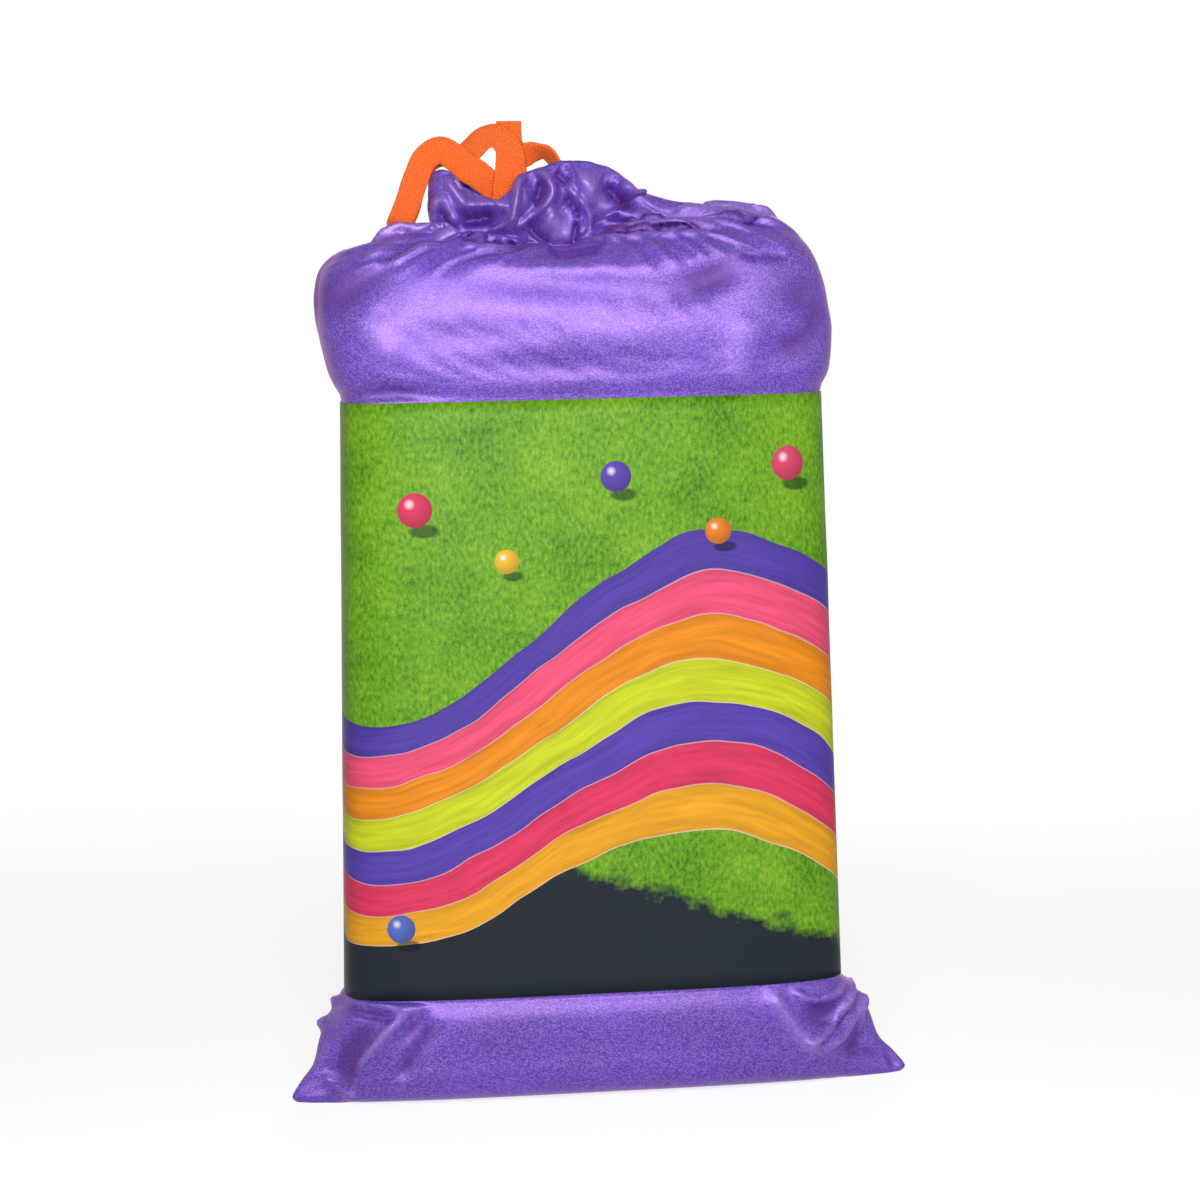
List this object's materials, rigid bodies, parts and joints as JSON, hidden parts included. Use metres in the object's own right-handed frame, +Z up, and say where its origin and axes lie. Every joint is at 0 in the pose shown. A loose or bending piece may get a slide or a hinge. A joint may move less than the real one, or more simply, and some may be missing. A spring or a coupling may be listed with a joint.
{
  "type": "play parachute in a drawstring bag",
  "caption": "Folded play parachute in a satin drawstring bag that stands on its base, closed by a flat tape drawcord and held flat by a printed card sleeve.",
  "frame": {"origin": "on the floor, midway between the bag's two ears and between its front and back", "axes": "+Z up the bag, -Y out of the sleeve's front, +X to the right as seen from the front"},
  "size_m": [0.3112, 0.0822, 0.4839],
  "materials": {
    "bag_satin": "shiny polyester satin",
    "printed_card": "semi-gloss print",
    "cord_tape": "braided cotton tape",
    "webbing": "woven webbing",
    "vent_mesh": "open knitted mesh",
    "gore_purple": "thin parachute cloth",
    "gore_yellow": "thin parachute cloth",
    "gore_pink": "thin parachute cloth",
    "gore_orange": "thin parachute cloth"
  },
  "bodies": {
    "bag": {"bag_front_panel": "bag_satin", "bag_back_panel": "bag_satin", "drawcord_in_casing": "cord_tape", "gore_1": "gore_purple", "gore_2": "gore_yellow", "gore_3": "gore_pink", "gore_4": "gore_orange", "gore_5": "gore_purple", "gore_6": "gore_yellow", "gore_7": "gore_pink", "gore_8": "gore_orange", "rim_handle_1": "webbing", "rim_handle_2": "webbing", "rim_handle_3": "webbing", "rim_handle_4": "webbing", "rim_handle_5": "webbing", "rim_handle_6": "webbing", "rim_handle_7": "webbing", "rim_handle_8": "webbing", "vent_binding": "webbing", "vent_mesh": "vent_mesh"},
    "sleeve": {"card_sleeve": "printed_card"},
    "drawcord": {"drawcord_loops": "cord_tape", "drawcord_end": "cord_tape"}
  },
  "joints": [
    {"name": "sleeve_slide", "type": "slide", "parent": "bag", "child": "sleeve", "axis": [0, 0, 1], "range_m": [0, 0.46], "deforming": ["bag_front_panel", "bag_back_panel"]},
    {"name": "drawcord_pull", "type": "slide", "parent": "bag", "child": "drawcord", "axis": [0, 0, 1], "range_m": [0, 0.018]}
  ]
}
